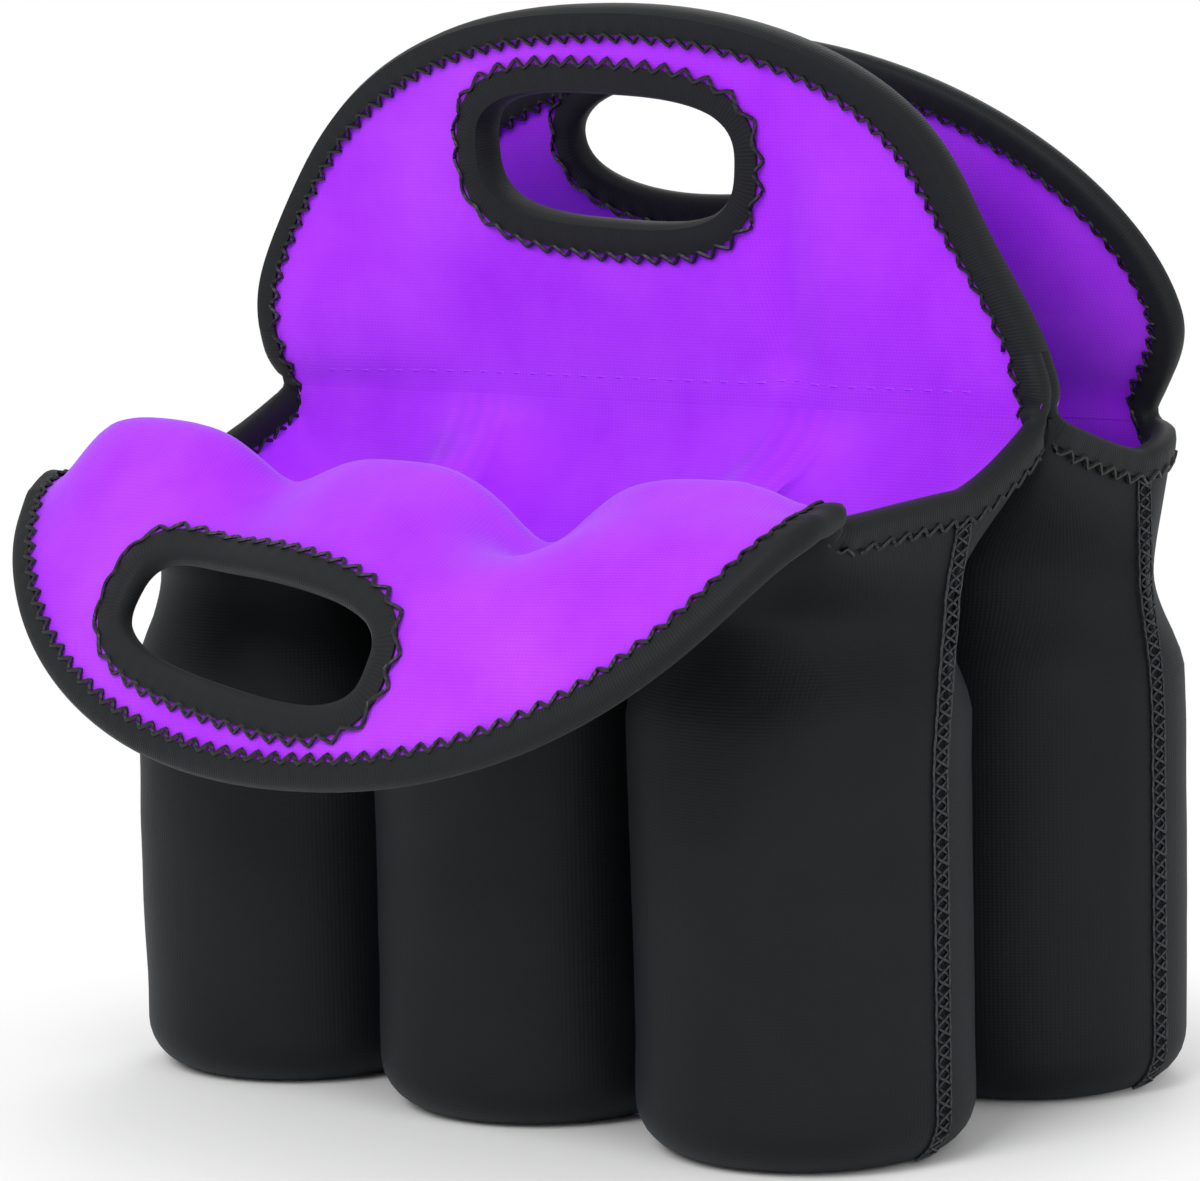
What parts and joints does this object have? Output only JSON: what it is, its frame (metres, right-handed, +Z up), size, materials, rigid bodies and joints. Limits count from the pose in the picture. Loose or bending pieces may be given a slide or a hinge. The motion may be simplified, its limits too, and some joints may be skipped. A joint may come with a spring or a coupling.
{
  "type": "bottle carrier",
  "caption": "Soft neoprene drinks carrier: two rows of bottle sleeves joined by a tall middle handle, with a flap on each side, each with a bound hand slot.",
  "frame": {"origin": "middle of the carrier's width and depth, on the surface that its sleeves stand on", "axes": "+X to the right along the rows, +Y from the front flap to the rear flap, +Z up along the bottles"},
  "size_m": [0.226, 0.1904, 0.2364],
  "materials": {
    "black_neoprene": "black nylon jersey bonded to closed-cell neoprene foam, violet on the other face",
    "violet_neoprene": "bright violet nylon jersey bonded to closed-cell neoprene foam, slight sheen",
    "binding_tape": "black stretch binding tape, folded over the edges and zigzag stitched",
    "sewing_thread": "thick black bonded nylon thread"
  },
  "bodies": {
    "carrier": {"front_panel": "black_neoprene", "front_inner_panel": "violet_neoprene", "rear_inner_panel": "violet_neoprene", "rear_panel": "black_neoprene", "front_left_mouth_tape": "binding_tape", "front_right_mouth_tape": "binding_tape", "rear_left_mouth_tape": "binding_tape", "rear_right_mouth_tape": "binding_tape", "front_left_side_seam": "sewing_thread", "front_right_side_seam": "sewing_thread", "rear_left_side_seam": "sewing_thread", "rear_right_side_seam": "sewing_thread", "front_divider_seams": "sewing_thread", "rear_divider_seams": "sewing_thread", "front_floor_seams": "sewing_thread", "rear_floor_seams": "sewing_thread"},
    "front_flap": {"front_flap": "violet_neoprene", "front_flap_tape": "binding_tape", "front_flap_slot_tape": "binding_tape"},
    "handle": {"handle_front_layer": "violet_neoprene", "handle_rear_layer": "violet_neoprene", "handle_tape": "binding_tape", "handle_slot_tape": "binding_tape", "handle_root_seam": "sewing_thread"},
    "rear_flap": {"rear_flap": "violet_neoprene", "rear_flap_tape": "binding_tape", "rear_flap_slot_tape": "binding_tape"}
  },
  "joints": [
    {"name": "front_flap_fold", "type": "hinge", "parent": "carrier", "child": "front_flap", "pos_m": [0, -0.05348, 0.148], "axis": [-1, 0, 0], "range_deg": [0, 170]},
    {"name": "rear_flap_fold", "type": "hinge", "parent": "carrier", "child": "rear_flap", "pos_m": [0, 0.07871, 0.148], "axis": [-1, 0, 0], "range_deg": [-5, 150]},
    {"name": "handle_lean", "type": "hinge", "parent": "carrier", "child": "handle", "pos_m": [0, 0.02012, 0.15], "axis": [1, 0, 0], "range_deg": [-10, 10]}
  ]
}
